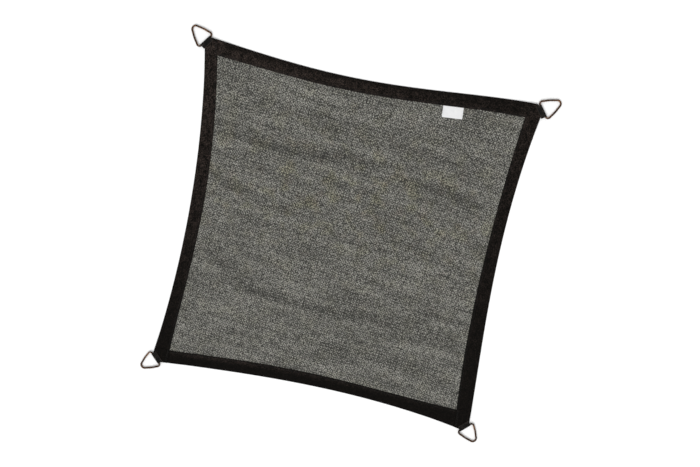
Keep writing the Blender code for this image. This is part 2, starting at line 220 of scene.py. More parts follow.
def panel_surface(s, t):
    """The panel's middle surface for shares s across and t up, each evenly from 0 to 1.

    The plan is the left and right edges blended, plus the bottom and top ones blended, less the four
    corners, which both bring. The height is half the cloth, plus what each edge lifts, faded out over
    SAG_REACH, plus the ridges, which come to nothing at the border.
    """
    lines = {side: side_lines(side, s if side in LEVEL_SIDES else t) for side in SIDES}
    span = INNER_CORNER["top", "right"][0] - INNER_CORNER["top", "left"][0]

    def blend(value, corner, fade):
        a, b, c, d = fade(s)[None], fade(1 - s)[None], fade(t)[:, None], fade(1 - t)[:, None]
        edges = a * value["left"][:, None] + b * value["right"][:, None]
        edges = edges + c * value["bottom"][None] + d * value["top"][None]
        inside = a * c * corner["bottom", "left"] + b * c * corner["bottom", "right"]
        return edges - inside - a * d * corner["top", "left"] - b * d * corner["top", "right"]

    x, y = (
        blend(
            {side: lines[side][0][:, k] for side in lines},
            {key: place[k] for key, place in INNER_CORNER.items()},
            lambda share: 1 - share,
        )
        for k in (0, 1)
    )
    lift = {side: lines[side][2] - CLOTH / 2 for side in lines}
    corner_lift = dict.fromkeys(KEYS, CORNER_HEIGHT - CLOTH / 2)
    raised = blend(lift, corner_lift, lambda share: smooth(1 - share * span / SAG_REACH))
    margin = np.minimum(np.minimum(s, 1 - s)[None], np.minimum(t, 1 - t)[:, None]) * span
    z = CLOTH / 2 + raised + ridge_height(x, y) * smooth(margin / SIDE_CALM)
    return np.stack([x, y, z], 2)


def with_border(field, s, t):
    """The panel's field with one more row or column at each side, that reaches into the folded border."""
    points = np.zeros((len(t) + 2, len(s) + 2, 3))
    points[1:-1, 1:-1] = field
    rows = {"bottom": np.s_[0, 1:-1], "top": np.s_[-1, 1:-1]}
    columns = {"left": np.s_[1:-1, 0], "right": np.s_[1:-1, -1]}
    for side, here in (rows | columns).items():
        inner, outer, height, _ = side_lines(side, s if side in LEVEL_SIDES else t)
        points[here] = np.column_stack([outer + unit(inner - outer) * PANEL_INSET, height])
    for (tb, lr), place in OUTER_CORNER.items():
        here = (-1 if tb == "top" else 0, -1 if lr == "right" else 0)
        points[here][:2] = place + np.sign(INNER_CORNER[tb, lr] - place) * PANEL_INSET
        points[here][2] = CORNER_HEIGHT
    return points


def grid_mesh(name, points, uv=None, closed=False):
    """An object whose faces join a grid of points, rows by columns, facing up when both run onwards.

    With closed, the last column joins the first. uv is a grid of places on the flat cloth in metres.
    """
    rows, columns = points.shape[:2]
    number = np.arange(rows * columns).reshape(rows, columns)
    if closed:
        number = np.column_stack([number, number[:, 0]])
    corners = np.stack([number[:-1, :-1], number[:-1, 1:], number[1:, 1:], number[1:, :-1]], 2)
    mesh = bpy.data.meshes.new(name)
    mesh.from_pydata((points.reshape(-1, 3) - DRAWING_MIDDLE).tolist(), [], corners.reshape(-1, 4).tolist())
    mesh.shade_smooth()
    if uv is not None:
        layer = mesh.uv_layers.new(name="cloth")
        layer.data.foreach_set("uv", uv.reshape(-1, 2)[corners.reshape(-1)].ravel())
    return put_in_scene(name, mesh)


@contextmanager
def reshaped(piece):
    """The piece's mesh, open to changes and written back after them."""
    shape = bmesh.new()
    shape.from_mesh(piece.data)
    yield shape
    shape.to_mesh(piece.data)
    shape.free()


def corner_ways(corner):
    """The level way in which a corner's tab faces, and the one along its front, to the left of it."""
    facing = math.radians(CORNERS[corner]["facing"])
    forward = np.array((math.cos(facing), math.sin(facing)))
    return forward, np.array((-forward[1], forward[0]))


def cut_corners(piece, corners):
    """Cuts off what lies further out than CUT_BEHIND_FRONT behind each corner's tab front."""
    with reshaped(piece) as shape:
        for corner in corners:
            way = np.append(corner_ways(corner)[0], 0)
            place = np.array((*CORNERS[corner]["front"], 0)) - DRAWING_MIDDLE - way * CUT_BEHIND_FRONT
            everything = [*shape.verts, *shape.edges, *shape.faces]
            bmesh.ops.bisect_plane(shape, geom=everything, plane_co=place, plane_no=way, clear_outer=True)


def thicken(piece, thickness):
    """Gives a middle surface its thickness, half to each side."""
    wall = piece.modifiers.new("thickness", "SOLIDIFY")
    wall.thickness = thickness
    wall.offset = 0
    wall.use_even_offset = True


class Field:
    """A number that varies over a surface. Sums, products and waves of it become Math nodes."""

    def __init__(self, socket):
        self.socket = socket
        self.tree = socket.id_data

    def math(self, operation, *others):
        """A Math node's result from this field and others, which may be plain numbers."""
        node = self.tree.nodes.new("ShaderNodeMath")
        node.operation = operation
        for place, value in enumerate((self, *others)):
            if isinstance(value, Field):
                self.tree.links.new(value.socket, node.inputs[place])
            else:
                node.inputs[place].default_value = value
        return Field(node.outputs[0])

    def __add__(self, other):
        return self.math("ADD", other)

    def __sub__(self, other):
        return self.math("SUBTRACT", other)

    def __mul__(self, other):
        return self.math("MULTIPLY", other)

    def wave(self):
        """Its cosine, with one period to each 1."""
        return (self * math.tau).math("COSINE")

    def bell(self):
        """1 at 0, falling on both sides: e to the power of minus its square."""
        return (self * self * -1).math("EXPONENT")

    def zigzag(self):
        """0 at each whole number, 1 halfway between two."""
        return self.math("PINGPONG", 0.5) * 2

    def rise(self, low, high):
        """From 0 at low to 1 at high, smoothly. It falls where low is the greater."""
        node = self.tree.nodes.new("ShaderNodeMapRange")
        node.interpolation_type = "SMOOTHSTEP"
        node.inputs["From Min"].default_value = low
        node.inputs["From Max"].default_value = high
        self.tree.links.new(self.socket, node.inputs["Value"])
        return Field(node.outputs["Result"])


def finish(name, roughness, specular=0.5, metallic=0.0):
    """A new material, with its tree and its Principled shader."""
    made = bpy.data.materials.new(name)
    made.use_nodes = True
    shader = made.node_tree.nodes["Principled BSDF"]
    shader.inputs["Roughness"].default_value = roughness
    shader.inputs["Specular IOR Level"].default_value = specular
    shader.inputs["Metallic"].default_value = metallic
    return made, made.node_tree, shader


def cloth_place(tree, output="Object", turn=0.0):
    """A place on the cloth: the output of Texture Coordinate, turned in degrees about Z."""
    where = tree.nodes.new("ShaderNodeTexCoord")
    turned = tree.nodes.new("ShaderNodeMapping")
    turned.inputs["Rotation"].default_value = (0, 0, math.radians(turn))
    tree.links.new(where.outputs[output], turned.inputs["Vector"])
    return turned.outputs["Vector"]


def axes(place):
    """A place's first two numbers, as fields."""
    parts = place.id_data.nodes.new("ShaderNodeSeparateXYZ")
    place.id_data.links.new(place, parts.inputs[0])
    return Field(parts.outputs["X"]), Field(parts.outputs["Y"])


def noise(place, per_metre, detail=2.0, stretch=(1, 1, 1)):
    """Soft noise round 0.5. stretch multiplies how fast it varies along each axis."""
    tree = place.id_data
    scaled = tree.nodes.new("ShaderNodeVectorMath")
    scaled.operation = "MULTIPLY"
    scaled.inputs[1].default_value = stretch
    tree.links.new(place, scaled.inputs[0])
    cloud = tree.nodes.new("ShaderNodeTexNoise")
    cloud.inputs["Scale"].default_value = per_metre
    cloud.inputs["Detail"].default_value = detail
    tree.links.new(scaled.outputs[0], cloud.inputs["Vector"])
    return Field(cloud.outputs["Fac"])


def colour_between(share, low, high, blend="MIX"):
    """A colour socket that goes from low to high, or to what high blends it to, as share goes to 1.

    The high colour is in linear light. The low one is too, or is a colour socket.
    """
    tree = share.tree
    mix = tree.nodes.new("ShaderNodeMix")
    mix.data_type, mix.blend_type = "RGBA", blend
    mix.inputs["B"].default_value = (*high, 1)
    tree.links.new(share.socket, mix.inputs["Factor"])
    if isinstance(low, tuple):
        mix.inputs["A"].default_value = (*low, 1)
    else:
        tree.links.new(low, mix.inputs["A"])
    return mix.outputs["Result"]


def relief(shader, height, distance):
    """Lets a height field raise the surface's look by up to distance."""
    tree = shader.id_data
    bump = tree.nodes.new("ShaderNodeBump")
    bump.inputs["Distance"].default_value = distance
    bump.inputs["Strength"].default_value = 1.0
    tree.links.new(height.socket, bump.inputs["Height"])
    tree.links.new(bump.outputs["Normal"], shader.inputs["Normal"])


# Painted shade beside the ridges, as dark lines along which the slots also close: points along each line in
# metres, with how strongly it shows at each of them.
FOLD_SHADE_LENGTH, FOLD_SHADE_WIDTH = 48 * MM, 32 * MM
FOLD_SHADE_LINES = (
    ((-0.8, 0.475, 0.8), (-0.62, 0.466, 1.2), (-0.47, 0.456, 1.5), (-0.31, 0.438, 1.3),
     (-0.16, 0.427, 1.4), (-0.03, 0.424, 0.3), (0.1, 0.422, 1.1), (0.24, 0.408, 0.3),
     (0.4, 0.393, 1.2), (0.54, 0.37, 0.3), (0.69, 0.345, 1.2)),
    ((-0.79, 0.7, 0.2), (-0.6, 0.685, 0.7), (-0.4, 0.655, 0.3), (-0.1, 0.6, 0.7), (0.15, 0.585, 0.4),
     (0.42, 0.565, 0.9), (0.6, 0.55, 0.1)),
    ((-0.79, 0.19, 0.5), (-0.66, 0.175, 0.8), (-0.54, 0.16, 0.4), (-0.37, 0.14, 0.5),
     (-0.2, 0.12, 0.1)),
    ((0.1, 0.23, 0.2), (0.25, 0.2, 0.7), (0.38, 0.17, 0.7), (0.46, 0.08, 0.6), (0.52, 0, 0.2)),
    ((-0.76, -0.21, 0.3), (-0.66, -0.27, 0.9), (-0.55, -0.335, 0.5), (-0.45, -0.39, 1),
     (-0.3, -0.4, 0.9), (-0.15, -0.41, 0.4), (0.02, -0.417, 1), (0.16, -0.425, 1.4),
     (0.28, -0.432, 1.3), (0.36, -0.44, 0.8), (0.55, -0.44, 1), (0.74, -0.44, 0.5)),
    ((-0.1, -0.33, 0.1), (0.12, -0.34, 0.6), (0.35, -0.335, 0.4), (0.55, -0.32, 0.9),
     (0.66, -0.33, 0.3)),
    ((-0.4, -0.6, 0.2), (-0.23, -0.61, 1), (-0.08, -0.62, 0.5), (0.08, -0.632, 1.1),
     (0.25, -0.635, 0.4), (0.46, -0.637, 1.4), (0.6, -0.655, 0.6), (0.76, -0.676, 1.1)),
)
FOLD_SHADE_STEPS = 30

KNIT_PITCH = 16 * MM
TAPE_LENGTH, TAPE_WIDTH, TAPE_SLANT = KNIT_PITCH / 4, KNIT_PITCH / 5, 0.7
KNIT_TURN = 4.7
YARN_DARK, YARN_LIGHT = (0.025, 0.0245, 0.0205), (0.380, 0.374, 0.333)
OLIVE_TINT, RUST_TINT = (1.0, 0.99, 0.80), (1.0, 0.93, 0.89)
SLOT_OPENS = (0.50, 2.3)
FIBRES, STREAKS, BANDS, OLIVE, RUST = 240, 30, 3.0, 11, 14  # patches of noise to a metre


def painted_fold_shade(x, y):
    """How strong the painted fold shade is: for each line the highest of a row of bells along it."""
    total = np.zeros(len(x))
    for line in FOLD_SHADE_LINES:
        points = np.array(line)
        steps = np.linspace(0, len(points) - 1, (len(points) - 1) * FOLD_SHADE_STEPS + 1)
        path = [np.interp(steps, np.arange(len(points)), column) for column in points.T]
        near = np.zeros(len(x))
        for px, py, strength in zip(*path):
            bell = np.exp(-(((x - px) / FOLD_SHADE_LENGTH) ** 2) - ((y - py) / FOLD_SHADE_WIDTH) ** 2)
            near = np.maximum(near, strength * bell)
        total += near
    return total


def number_for(first, second, kind):
    """A number from 0 to 1 that is the same wherever both fields have the same whole parts."""
    tree = first.tree
    which = tree.nodes.new("ShaderNodeCombineXYZ")
    for name, field in (("X", first), ("Y", second)):
        tree.links.new(field.math("FLOOR").socket, which.inputs[name])
    which.inputs["Z"].default_value = kind
    white = tree.nodes.new("ShaderNodeTexWhiteNoise")
    tree.links.new(which.outputs[0], white.inputs["Vector"])
    return Field(white.outputs["Value"])


def knit(place):
    """A warp knit of flat tapes, as how far each place lies in a slot, and how raised and shiny its tape is.

    Short lengths of tape lie across the cloth and slant up and down in turn, between upright chains of
    loops. sheen is a number from 0 to 1 for each length. raised is the cosine across the tapes, plus a
    weaker one across the chains. The slots are staggered, with one at each corner and one in the middle
    of every KNIT_PITCH square: the cosine along one diagonal plus the cosine along the other. Weaker
    cosines up and across make every second row and column wider, and each slot has a number of its own.
    """
    across, up = axes(place)
    chains = across * (1 / TAPE_LENGTH)
    tapes = up * (1 / TAPE_WIDTH) + (chains * 0.5).zigzag() * TAPE_SLANT
    raised = (tapes + 0.5).wave() + (chains + 0.5).wave() * 0.5
    sheen = number_for(chains, tapes, 0)
    across, up = across * (1 / KNIT_PITCH), tapes * (TAPE_WIDTH / KNIT_PITCH)
    falling, rising = across + up, across - up
    slots = (falling.wave() + rising.wave()) * 0.40 + up.wave() * 0.30 + across.wave() * 0.20
    loose = number_for(falling + 0.5, rising + 0.5, 1)
    return slots, loose, raised, sheen


def named_field(tree, name):
    """A number that each point of the mesh carries under a name."""
    carried = tree.nodes.new("ShaderNodeAttribute")
    carried.attribute_name = name
    return Field(carried.outputs["Fac"])


def mesh_finish():
    """The panel's: the floor shows through the slots, and every tape has a tone of its own.

    A slot opens with its place in the knit, its own number and its tapes', and closes along the lines of
    painted fold shade. A tone is the tape's number, a painted sheen, plus fibres, streaks and broad bands
    across the cloth, with painted light on the tapes' crowns, painted shade between them and painted shade
    along the fold lines. Patches of olive and rust tint it, most in the upper middle.
    """
    made, tree, shader = finish("knitted_mesh", roughness=0.55, specular=0.3)
    place = cloth_place(tree, turn=KNIT_TURN)
    slots, loose, raised, sheen = knit(place)
    fibres = noise(place, FIBRES, stretch=(1, 3, 1))
    bands = noise(place, BANDS, stretch=(1, 6, 1))
    streaks = noise(place, STREAKS, detail=1.0, stretch=(1, 2.6, 1))
    fold_shade = named_field(tree, "painted_fold_shade")
    # The slots also close along the painted fold shade.
    open_share = slots + (loose - 0.5) * 1.0 + (sheen - 0.5) * 0.4 + (streaks - 0.5) * 0.3 - fold_shade * 0.3
    open_share = (open_share - raised * 0.12).rise(*SLOT_OPENS)
    tree.links.new((open_share * -1 + 1).socket, shader.inputs["Alpha"])
    # Each tape's number is a painted sheen in its tone.
    tone = (sheen - 0.5) * 1.15 + (fibres - 0.5) * 0.4 + (bands - 0.5) * 0.7 + (streaks - 0.5) * 0.28
    # Painted light on the tapes' crowns and painted shade between them; the painted fold shade darkens the
    # tone.
    tone = tone + slots * 0.40 + raised * 0.08 - fold_shade * 0.13 + 0.21
    yarn = colour_between(tone.rise(0.0, 1.0), YARN_DARK, YARN_LIGHT)
    x, y = axes(cloth_place(tree))
    upper_middle = ((y - 0.27) * 3.2).bell() * (x * 1.1).bell() * 0.75 + 0.25
    olive, rust = noise(place, OLIVE, detail=1.0), noise(place, RUST, detail=1.0, stretch=(1, -1, 1))
    yarn = colour_between(olive.rise(0.45, 0.70) * upper_middle, yarn, OLIVE_TINT, "MULTIPLY")
    yarn = colour_between(rust.rise(0.50, 0.75) * upper_middle, yarn, RUST_TINT, "MULTIPLY")
    tree.links.new(yarn, shader.inputs["Base Color"])
    relief(shader, raised - slots, 0.35 * MM)
    return made


across_shares = np.linspace(0, 1, PANEL_COLUMNS + 1)
up_shares = np.linspace(0, 1, PANEL_ROWS + 1)
field = panel_surface(across_shares, up_shares)
panel = grid_mesh("mesh_panel", with_border(field, across_shares, up_shares))
cut_corners(panel, CORNERS)
thicken(panel, CLOTH)
places = np.empty(len(panel.data.vertices) * 3)
panel.data.vertices.foreach_get("co", places)
x, y, _ = places.reshape(-1, 3).T + DRAWING_MIDDLE[:, None]
# Each point carries how strong the painted fold shade is there.
panel.data.attributes.new("painted_fold_shade", "FLOAT", "POINT").data.foreach_set("value", painted_fold_shade(x, y))
panel.data.materials.append(mesh_finish())

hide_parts("panel")
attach(panel, "root")

# -----------------------------------------------------------------------------
# Bindings. Four strips of the same black mesh, each folded lengthwise round one side of the panel, so
# that three layers lie together and hardly any ground shows. The left and right strips lap over the
# ends of the top and bottom ones. The sewing draws small puckers across them.
# -----------------------------------------------------------------------------

LAP_STARTS = (8 * MM, 1 * MM)
STRIP_LINES, UPPER_STEPS, FOLD_STEPS, LOWER_STEPS = 230, 9, 8, 3
LAP_SHARE_STEPS = np.linspace(0, 0.012, 12)[1:]
PUCKER_HEIGHT, PUCKER_LENGTH, PUCKER_LEAN = 1.3 * MM, 11 * MM, 26 * MM
HEIGHT_TURN, LEAN_TURN = 4.1, 2.4  # radians from one pucker to the next
PUCKERS = {
    "left": (0.80, 0.73, 0.66, 0.62, 0.46, 0.13, 0.07, -0.11, -0.22, -0.33),
    "right": (0.74, 0.35, 0.08, -0.03, -0.12, -0.55),
    "top": (-0.78, -0.66, -0.41, -0.22, 0.10, 0.36, 0.71),
    "bottom": (-0.74, -0.58, -0.20, 0.25, 0.31, 0.68),
}


def lap_offset(side, to_corner):
    """How far a ply stands off the panel's middle: one layer, or two where it laps a strip's end."""
    if side in LEVEL_SIDES:
        return np.full_like(to_corner, LAYER)
    start, full = LAP_STARTS
    return LAYER + (LAP_OFFSET - LAYER) * smooth((start - to_corner) / (start - full))


def pucker(side, along, across):
    """Low bells along the strip at its pucker places, leaning a little, highest at its middle line.

    along is in metres from the sail's middle, and across is 0 at the sewn edge and 1 at the fold.
    """
    total = np.zeros(np.broadcast_shapes(along.shape, across.shape))
    for number, place in enumerate(PUCKERS[side]):
        lean = (across - 0.5) * PUCKER_LEAN * math.cos(LEAN_TURN * number)
        height = PUCKER_HEIGHT * (0.6 + 0.4 * math.cos(HEIGHT_TURN * number))
        total += height * np.exp(-(((along - place - lean) / PUCKER_LENGTH) ** 2))
    return total * np.sin(math.pi * np.clip(across, 0, 1)) ** 1.5


def strip_surface(side, shares):
    """A strip's middle surface: upper ply, half circle round the panel's edge, lower ply.

    Down the grid is the way across the strip, and across the grid the way along it. The flat cloth's
    own places come with it, in metres: along the strip, and across it from the upper sewn edge.
    """
    trim = LAP_OFFSET + CLOTH / 2 + GAP if side in LEVEL_SIDES else 0.0
    inner, outer, height, to_corner = side_lines(side, shares, trim)
    offset = lap_offset(side, to_corner)
    way = inner - outer
    width = np.linalg.norm(way, axis=1)
    centre = offset + CLOTH / 2
    turn = np.radians(np.linspace(90, -90, FOLD_STEPS + 1))[:, None]
    upper = np.linspace(0, 1, UPPER_STEPS + 1)[:-1, None]
    lower = np.linspace(0, 1, LOWER_STEPS + 1)[1:, None]
    round_fold = centre - offset * np.cos(turn)
    reach = [width + upper * (centre - width), round_fold, centre + lower * (width - centre)]
    rise = [offset + 0 * upper, offset * np.sin(turn), -offset + 0 * lower]
    along = along_side(side, inner)[None]
    rise[0] = rise[0] + pucker(side, along, upper)
    reach, rise = np.vstack(reach), np.vstack(rise)
    plan = outer[None] + reach[:, :, None] * (way / width[:, None])[None]
    points = np.concatenate([plan, (height + rise)[:, :, None]], 2)
    across = distances(points)
    return points, np.stack([np.broadcast_to(along, across.shape), across], 2)


def strip_shares():
    """Shares along a side, with closer ones where a lap steps up beside each inner corner."""
    even = np.linspace(0, 1, STRIP_LINES)
    past = np.linspace(0, 1, CORNER_LINES + 1)[1:]
    return np.unique(np.concatenate([-past, even, LAP_SHARE_STEPS, 1 - LAP_SHARE_STEPS, 1 + past]))


BINDING_DARK, BINDING_BROWN = (0.0022, 0.0019, 0.0014), (0.046, 0.034, 0.029)
BINDING_MOTTLE = 26
PAINTED_LIGHT_FROM_EDGE, PAINTED_LIGHT_SHIFT = (52 * MM, 24 * MM), 14 * MM


def binding_finish():
    """The strips': black, with painted light that makes the tapes browner and more mottled.

    The painted light rises towards the top and a little towards the left. On the top and bottom strips, away
    from their ends, it is less and gathers between the sewn edge and the fold. Each tape's tone is a painted
    sheen, with painted light on the tapes' crowns and painted shade between them.
    """
    made, tree, shader = finish("black_folded_mesh", roughness=0.6, specular=0.04)
    on_strip = cloth_place(tree, output="UV")
    _, _, raised, sheen = knit(on_strip)
    place = cloth_place(tree)
    x, y = axes(place)
    _, across = axes(on_strip)
    # Painted light, rising towards the top and a little towards the left; on the top and bottom strips, away
    # from their ends, it is less and gathers near the sewn edge.
    wear_and_light = (y * (x * -0.25 + 0.6) - x * 0.2).rise(-0.75, 0.75)
    end_strip = (y * y).rise(0.55, 0.66) * (x * x).rise(0.74, 0.62)
    from_fold = (across - y * PAINTED_LIGHT_SHIFT).rise(*PAINTED_LIGHT_FROM_EDGE)
    wear_and_light = wear_and_light * (end_strip * -0.6 + 1.0) + end_strip * from_fold * (x * -0.3 + 0.4)
    mottle = noise(place, BINDING_MOTTLE, detail=6.0)
    # The painted light browns the tone and strengthens the mottle and each tape's painted sheen.
    tone = (mottle - 0.5) * 1.3 * wear_and_light + (sheen - 0.5) * (wear_and_light * 0.8 + 0.42) + wear_and_light * 0.27
    # Painted light on the tapes' crowns and painted shade between them.
    tone = tone + raised * 0.04 + 0.03
    cloth = colour_between(tone.rise(0.0, 1.0), BINDING_DARK, BINDING_BROWN)
    tree.links.new(cloth, shader.inputs["Base Color"])
    relief(shader, raised, 0.35 * MM)
    return made


black_mesh = binding_finish()
for side in SIDES:
    points, flat_places = strip_surface(side, strip_shares())
    if side in ("top", "left"):
        points, flat_places = points[:, ::-1], flat_places[:, ::-1]
    strip = grid_mesh(f"border_{side}", points, flat_places)
    cut_corners(strip, [corner for corner in CORNERS if side in corner])
    thicken(strip, CLOTH)
    strip.data.materials.append(black_mesh)
    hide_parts(f"binding_{side}")
    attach(strip, "root")

# Two rows of black lockstitch along each strip's sewn edge hold all three layers. Those of the left
# and right strips run on over the laps, up to the webbing.
TAB_WIDTH, TAB_LENGTH = 70 * MM, 31 * MM
SEAM_ROWS = (5 * MM, 11 * MM)
STITCH_PITCH, STITCH_LENGTH, STITCH_WIDTH, STITCH_PROUD = 5 * MM, 4 * MM, 1.1 * MM, 0.35 * MM
STITCH_RINGS, STITCH_SIDES = 5, 6
UNDERSIDE_PROUD = 0.12 * MM
STITCH_CLEAR = 3 * MM
LAP_SHARE = 0.9
SEAM_STEPS, SEAM_END_STEPS = 400, 60


def stitch_shape():
    """An ellipsoid along X, of height 1 to be scaled, and its faces: quads, then each end's triangles.

    Its rings lie at the cosines of even angles and are as large as the sines. Each end has a tip.
    """
    swing = np.radians(np.linspace(0, 180, STITCH_RINGS + 2))[1:-1, None]
    round_it = np.radians(np.linspace(0, 360, STITCH_SIDES + 1))[None, :-1]
    rings = np.stack(np.broadcast_arrays(
        -np.cos(swing) * STITCH_LENGTH / 2,
        np.sin(swing) * np.cos(round_it) * STITCH_WIDTH / 2,
        np.sin(swing) * np.sin(round_it)), -1).reshape(-1, 3)
    tips = np.array([(-STITCH_LENGTH / 2, 0, 0), (STITCH_LENGTH / 2, 0, 0)])
    number = np.arange(len(rings)).reshape(STITCH_RINGS, STITCH_SIDES)
    after = np.roll(number, -1, axis=1)
    quads = np.stack([number[:-1], after[:-1], after[1:], number[1:]], 2).reshape(-1, 4)
    first = np.stack([after[0], number[0], 0 * number[0] + len(rings)], 1)
    last = np.stack([number[-1], after[-1], 0 * number[0] + len(rings) + 1], 1)
    return np.vstack([rings, tips]), (quads, first, last)


def stitches(name, paths, proud):
    """One low stitch every STITCH_PITCH along each path, half sunk in it and proud of it by a height."""
    ball, parts = stitch_shape()
    middles, ways = [], []
    for path in paths:
        far = distances(path)
        at = (np.arange(int(far[-1] / STITCH_PITCH)) + 0.5) * STITCH_PITCH
        start, end = (
            np.stack([np.interp(at + reach, far, column) for column in path.T], 1)
            for reach in (-STITCH_LENGTH / 2, STITCH_LENGTH / 2)
        )
        middles.append((start + end) / 2)
        ways.append(unit(end - start))
    middles, ways = np.vstack(middles)[:, None], np.vstack(ways)[:, None]
    sideways = unit(np.stack([-ways[..., 1], ways[..., 0], 0 * ways[..., 0]], -1))
    up = np.cross(ways, sideways)
    points = middles + ways * ball[:, :1] + sideways * ball[:, 1:2] + up * ball[:, 2:] * proud
    starts = (np.arange(len(middles)) * len(ball))[:, None, None]
    faces = []
    for part in parts:
        faces += (part[None] + starts).reshape(-1, part.shape[1]).tolist()
    mesh = bpy.data.meshes.new(name)
    mesh.from_pydata((points.reshape(-1, 3) - DRAWING_MIDDLE).tolist(), [], faces)
    mesh.shade_smooth()
    piece = put_in_scene(name, mesh)
    with reshaped(piece) as shape:
        bmesh.ops.recalc_face_normals(shape, faces=shape.faces)
    return piece


def seam(side, from_edge, face):
    """A stitch row's path along a strip, from_edge off its sewn edge, on its upper (1) or lower (-1) face.

    It stays STITCH_CLEAR clear of the webbing and of the corner's cut.
    """
    past = LAP_SHARE if side in ("left", "right") else 0.0
    ends = [np.linspace(start, start + past, SEAM_END_STEPS) for start in (-past, 1)]
    shares = np.unique(np.concatenate([*ends, np.linspace(0, 1, SEAM_STEPS)]))
    inner, outer, height, to_corner = side_lines(side, shares)
    way = outer - inner
    width = np.linalg.norm(way, axis=1)
    plan = inner + way / width[:, None] * from_edge
    rise = lap_offset(side, to_corner) + CLOTH / 2
    if face > 0:
        rise = rise + pucker(side, along_side(side, inner), from_edge / width)
    path = np.column_stack([plan, height + face * rise])
    clear = np.ones(len(path), bool)
    if side in LEVEL_SIDES:
        clear &= to_corner > STITCH_CLEAR
    for corner in CORNERS:
        forward, sideways = corner_ways(corner)
        away = plan - CORNERS[corner]["front"]
        behind, beside = -(away @ forward), np.abs(away @ sideways)
        on_webbing = (behind < TAB_LENGTH + STITCH_CLEAR) & (beside < TAB_WIDTH / 2 + STITCH_CLEAR)
        clear &= ~on_webbing & (behind > CUT_BEHIND_FRONT + STITCH_CLEAR)
    return path[clear]


THREAD_BLACK, THREAD_RUBBED = (0.006, 0.006, 0.006), (0.0132, 0.0132, 0.0132)
THREAD_WEAR = 220


def thread_finish(name, colour, wear_and_light):
    """A sewing thread's, from its colour to a worn one in small patches."""
    made, tree, shader = finish(name, roughness=0.4, specular=0.25)
    wear = noise(cloth_place(tree), THREAD_WEAR)
    tree.links.new(colour_between(wear.rise(0.3, 0.8), colour, wear_and_light), shader.inputs["Base Color"])
    return made


black_thread = thread_finish("black_thread", THREAD_BLACK, THREAD_RUBBED)
for face, proud in ((1, STITCH_PROUD), (-1, UNDERSIDE_PROUD)):
    rows = [seam(side, row, face) for side in SIDES for row in SEAM_ROWS]
    sewing = stitches("border_stitching_" + ("upper" if face > 0 else "lower"), rows, proud)
    sewing.data.materials.append(black_thread)
    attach(sewing, "root")

# -----------------------------------------------------------------------------
# Tabs. At each corner a short length of black polypropylene webbing is folded round the ring's bar,
# and its two ends are sewn to the upper and lower faces of the cut corner.
# -----------------------------------------------------------------------------

RING_WIRE = 10 * MM
LOOP_RADIUS = RING_WIRE / 2 + GAP + WEBBING / 2
BAR_BEHIND_FRONT = LOOP_RADIUS + WEBBING / 2
TAB_TOP = CORNER_HEIGHT + LAP_OFFSET + CLOTH / 2 + GAP + WEBBING / 2
SELVEDGE_STEPS, TAB_FACE_STEPS = 6, 24


def tab_path(loop_steps=20, flat_steps=6):
    """The webbing's middle line from the side: flat on the corner, down round the bar, flat below."""
    bend = np.array((-CUT_BEHIND_FRONT, TAB_TOP))
    bar = np.array((-BAR_BEHIND_FRONT, BAR_BEHIND_FRONT))
    distance = np.linalg.norm(bar - bend)
    climb = math.atan2(*(bar - bend)[::-1]) + math.asin(LOOP_RADIUS / distance)
    turn = np.linspace(climb + math.pi / 2, -math.pi / 2, loop_steps + 1)
    loop = bar + LOOP_RADIUS * np.stack([np.cos(turn), np.sin(turn)], 1)
    share = np.linspace(0, 1, flat_steps + 1)[:, None]
    over = np.array((-TAB_LENGTH, TAB_TOP)) * (1 - share) + bend * share
    down = bend * (1 - share) + loop[0] * share
    under = loop[-1] * (1 - share) + np.array((-TAB_LENGTH, WEBBING / 2)) * share
    return np.vstack([over[:-1], down[:-1], loop[:-1], under])


def strap_section(width, thickness):
    """Round the outline of a flat strap: across it and off its middle, with half-circle selvedges."""
    turn = np.linspace(-math.pi / 2, math.pi / 2, SELVEDGE_STEPS + 1)
    radius = thickness / 2
    half = width / 2 - radius
    face = np.linspace(-half, half, TAB_FACE_STEPS + 1)[1:-1]
    edge = half + radius * np.cos(turn), radius * np.sin(turn)
    across = np.concatenate([edge[0], face[::-1], -edge[0], face])
    off = np.concatenate([edge[1], 0 * face + radius, -edge[1], 0 * face - radius])
    return across, off


def strap_surface(path, width, thickness):
    """A strap's outline carried along a path of (forward, up), square to it, with its flat places."""
    way = unit(np.gradient(path, axis=0))
    across, off = strap_section(width, thickness)
    forward = path[:, :1] - way[:, 1:] * off
    up = path[:, 1:] + way[:, :1] * off
    points = np.stack([forward, np.broadcast_to(across, forward.shape), up], 2)
    return points, np.stack(np.broadcast_arrays(distances(path)[:, None], across), 2)


def at_corner(points, corner, behind=0.0, height=0.0, tilt=0.0):
    """Points made facing +X are tilted about Y, turned the way the corner faces, and put at its front."""
    forward, sideways = corner_ways(corner)
    x, y, z = points[..., :1], points[..., 1:2], points[..., 2:]
    out = x * math.cos(tilt) + z * math.sin(tilt) - behind
    up = z * math.cos(tilt) - x * math.sin(tilt) + height
    return np.concatenate([CORNERS[corner]["front"] + out * forward + y * sideways, up], -1)


WEBBING_DARK, WEBBING_WORN_AND_LIT = (0.0035, 0.0034, 0.0030), (0.045, 0.036, 0.030)
RIB, RAW_END_HIGHLIGHT, FRONT_HIGHLIGHT_WIDTH, WEBBING_WEAR = 2.4 * MM, 3 * MM, 5 * MM, 60
webbing_path = tab_path()
FRONT_AT = float(distances(webbing_path)[np.argmax(webbing_path[:, 0])])


